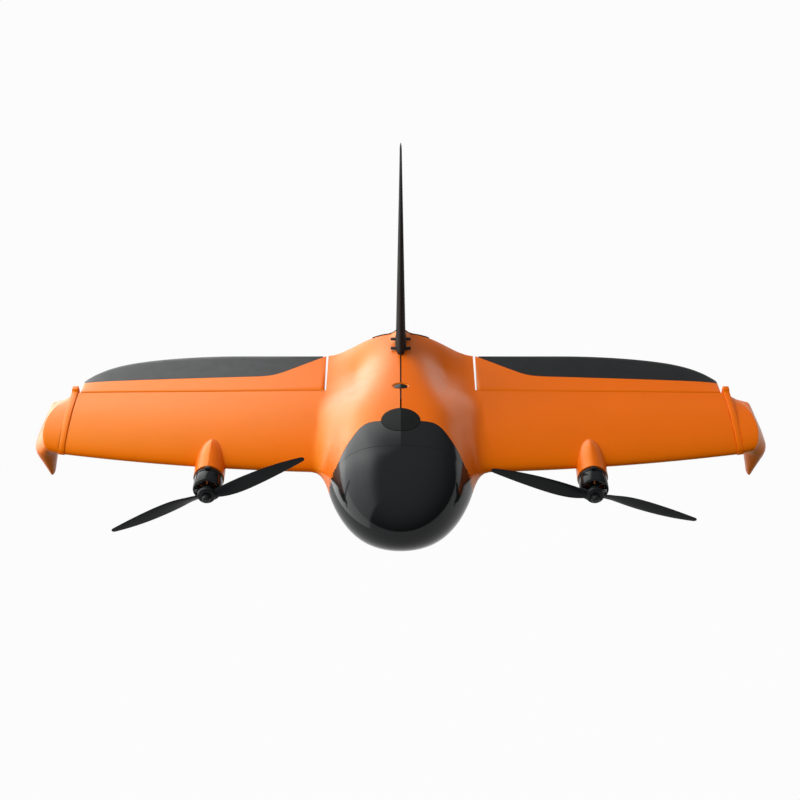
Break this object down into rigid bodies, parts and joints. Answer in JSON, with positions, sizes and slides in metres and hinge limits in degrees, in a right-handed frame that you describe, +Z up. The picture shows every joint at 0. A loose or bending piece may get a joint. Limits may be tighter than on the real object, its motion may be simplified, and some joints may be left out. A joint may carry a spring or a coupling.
{
  "type": "fixed wing drone",
  "caption": "Orange and black tail-sitting flying wing survey drone with wing motors, hinged elevons, tall fin, down-turned tips, lift-off nose hatch and press controls.",
  "frame": {"origin": "bottom centre of the bounding box: on the ground under the belly plate, midway along the length and on the plane of symmetry", "axes": "+X along the span to the aircraft's own left wing tip, +Y aft from nose to tail, +Z up in level flight"},
  "size_m": [1.25, 0.551, 0.4968],
  "materials": {
    "orange_skin": "satin painted foam composite",
    "black_gloss": "glossy moulded shell",
    "black_matt": "satin moulded plastic",
    "rubber": "matt rubber",
    "carbon": "satin carbon composite",
    "steel": "turned metal",
    "copper": "enamelled copper windings",
    "battery_wrap": "shrink wrap",
    "circuit_case": "moulded case",
    "glass": "coated glass"
  },
  "bodies": {
    "airframe": {"left_half_shell": "orange_skin", "right_half_shell": "orange_skin", "centre_seam_gasket": "rubber", "nose_dome": "black_gloss", "nose_chin": "black_matt", "button_bezel": "steel", "fin": "black_matt", "fin_pedestal": "black_matt", "front_fin_clip": "rubber", "rear_fin_clip": "rubber", "tail_bumper": "rubber", "belly_plate": "rubber", "wing_spar": "carbon", "avionics_tray": "carbon", "left_battery": "battery_wrap", "right_battery": "battery_wrap", "flight_controller": "circuit_case", "gps_module": "circuit_case", "payload_camera": "circuit_case", "camera_lens": "glass", "camera_window": "glass", "left_elevon_servo": "black_matt", "left_elevon_pin": "steel", "left_tip_rib": "orange_skin", "left_winglet": "orange_skin", "left_nacelle": "orange_skin", "left_motor_mount": "black_matt", "left_motor_stator": "copper", "right_elevon_servo": "black_matt", "right_elevon_pin": "steel", "right_tip_rib": "orange_skin", "right_winglet": "orange_skin", "right_nacelle": "orange_skin", "right_motor_mount": "black_matt", "right_motor_stator": "copper"},
    "hatch": {"nose_hatch": "black_gloss"},
    "latch": {"hatch_latch": "black_gloss"},
    "button": {"power_button": "black_gloss"},
    "left_elevon_body": {"left_elevon": "orange_skin", "left_elevon_edge": "black_matt", "left_servo_shaft": "steel"},
    "right_elevon_body": {"right_elevon": "orange_skin", "right_elevon_edge": "black_matt", "right_servo_shaft": "steel"},
    "left_rotor": {"left_motor_bell": "black_gloss", "left_motor_shaft": "steel", "left_propeller": "carbon", "left_prop_nut": "black_matt"},
    "right_rotor": {"right_motor_bell": "black_gloss", "right_motor_shaft": "steel", "right_propeller": "carbon", "right_prop_nut": "black_matt"}
  },
  "joints": [
    {"name": "left_prop_spin", "type": "hinge", "parent": "airframe", "child": "left_rotor", "pos_m": [0.3173, -0.145, 0.0798], "axis": [0, 1, 0], "continuous": true},
    {"name": "right_prop_spin", "type": "hinge", "parent": "airframe", "child": "right_rotor", "pos_m": [-0.3173, -0.145, 0.0798], "axis": [0, 1, 0], "continuous": true},
    {"name": "left_elevon_hinge", "type": "hinge", "parent": "airframe", "child": "left_elevon_body", "pos_m": [0.35, 0.1155, 0.0828], "axis": [1, 0, 0], "range_deg": [-25, 25]},
    {"name": "right_elevon_hinge", "type": "hinge", "parent": "airframe", "child": "right_elevon_body", "pos_m": [-0.35, 0.1155, 0.0828], "axis": [1, 0, 0], "range_deg": [-25, 25]},
    {"name": "hatch_lift", "type": "slide", "parent": "airframe", "child": "hatch", "axis": [0, 0, 1], "range_m": [0, 0.08]},
    {"name": "latch_press", "type": "slide", "parent": "hatch", "child": "latch", "axis": [0, 0, -1], "range_m": [0, 0.002], "stiffness_N_per_m": 800, "springref_m": -0.002},
    {"name": "button_press", "type": "slide", "parent": "airframe", "child": "button", "axis": [0, 0, -1], "range_m": [0, 0.0015], "stiffness_N_per_m": 800, "springref_m": -0.001}
  ]
}
